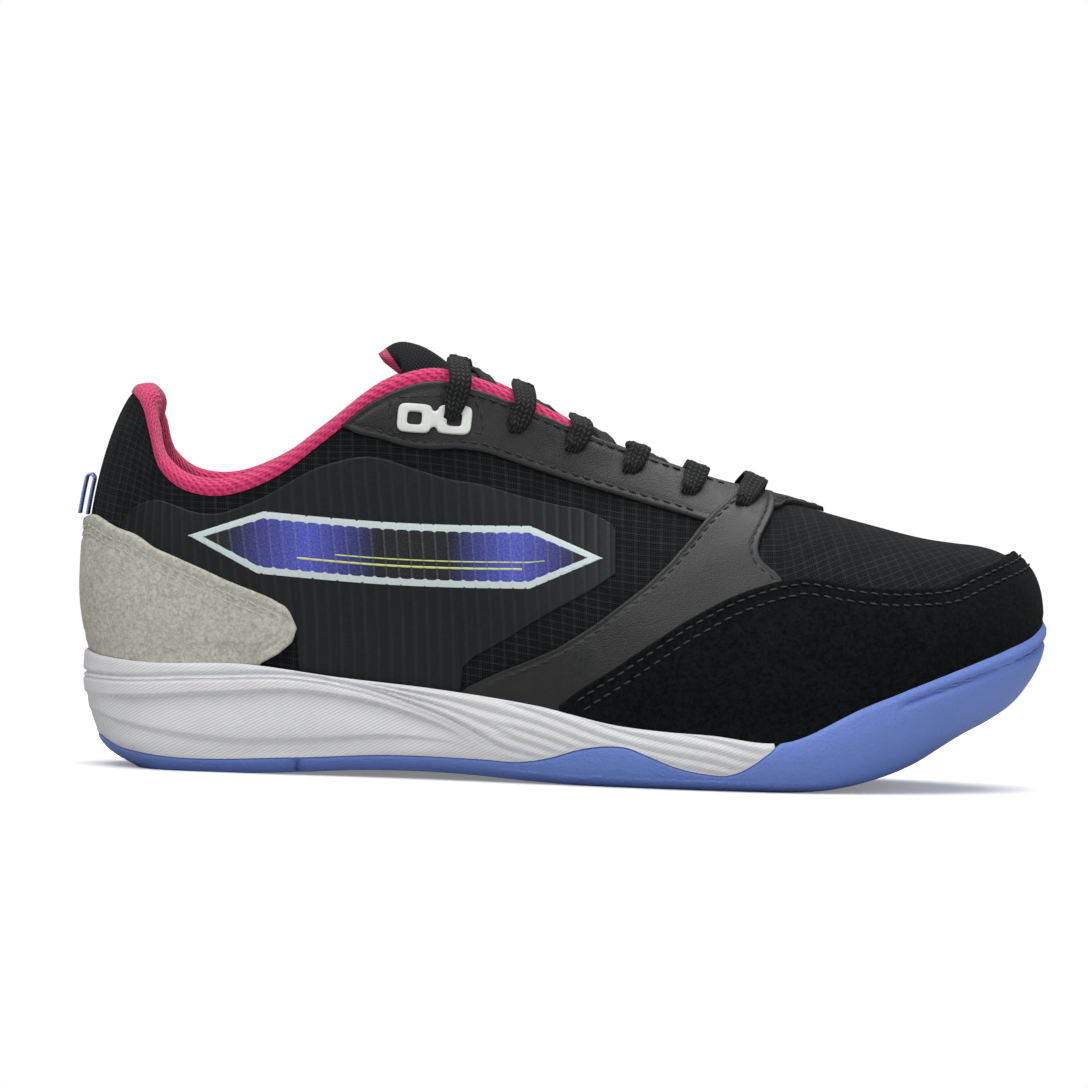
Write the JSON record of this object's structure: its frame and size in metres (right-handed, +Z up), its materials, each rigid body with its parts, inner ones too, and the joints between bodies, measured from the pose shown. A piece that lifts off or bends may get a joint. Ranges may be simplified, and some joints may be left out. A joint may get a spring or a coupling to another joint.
{
  "type": "court shoe",
  "caption": "Low-cut indoor court shoe for the right foot: rubber sole, foam midsole, layered mesh and suede upper, padded collar, hinged tongue, laced throat, removable sockliner.",
  "frame": {"origin": "centre of the shoe's box, on the floor", "axes": "+X to the toe, +Y to the medial (inner) side, +Z up"},
  "size_m": [0.286, 0.101, 0.1262],
  "materials": {
    "blue_rubber": "moulded non-marking rubber, satin",
    "white_foam": "moulded foam, matt",
    "fibre_board": "pressed fibre board",
    "inner_foam": "open-cell foam",
    "pink_mesh": "spacer mesh lining",
    "black_mesh": "ribbed ripstop mesh",
    "grey_suede": "suede",
    "black_suede": "suede",
    "black_leather": "smooth grained synthetic leather",
    "side_film": "welded film, satin",
    "white_plastic": "moulded thermoplastic",
    "navy_tape": "woven tape",
    "black_lace": "flat braided lace"
  },
  "bodies": {
    "shoe": {"outsole": "blue_rubber", "midsole": "white_foam", "lasting_board": "fibre_board", "quarter_mesh_lateral": "black_mesh", "quarter_mesh_medial": "black_mesh", "vamp_mesh": "black_mesh", "heel_overlay": "grey_suede", "toe_cap": "black_suede", "saddle_lateral": "black_leather", "saddle_medial": "black_leather", "eyestay_lateral": "black_leather", "eyestay_medial": "black_leather", "throat_patch": "black_leather", "side_film_lateral": "side_film", "side_film_medial": "side_film", "heel_counter": "fibre_board", "toe_puff": "fibre_board", "collar_lining": "pink_mesh", "vamp_lining": "black_mesh", "collar_foam": "inner_foam", "eyelet_plate_lateral": "white_plastic", "eyelet_plate_medial": "white_plastic", "lace": "black_lace", "aglet_lateral": "white_plastic", "aglet_medial": "white_plastic"},
    "tongue": {"tongue_shell": "black_leather", "tongue_foam": "inner_foam", "tongue_lining": "pink_mesh"},
    "sockliner": {"sockliner_foam": "inner_foam", "sockliner_cover": "pink_mesh"},
    "pull_loop": {"heel_pull_loop": "navy_tape"}
  },
  "joints": [
    {"name": "tongue_hinge", "type": "hinge", "parent": "shoe", "child": "tongue", "pos_m": [0.0641, 0.003, 0.0735], "axis": [0, 1, 0], "range_deg": [-6, 0], "stiffness_Nm_per_rad": 0.4},
    {"name": "sockliner_lift", "type": "hinge", "parent": "shoe", "child": "sockliner", "pos_m": [0.1292, 0.0075, 0.0325], "axis": [0, 1, 0], "range_deg": [0, 5]},
    {"name": "pull_loop_hinge", "type": "hinge", "parent": "shoe", "child": "pull_loop", "pos_m": [-0.1428, 0, 0.0737], "axis": [0, -1, 0], "range_deg": [0, 80], "stiffness_Nm_per_rad": 0.003}
  ]
}
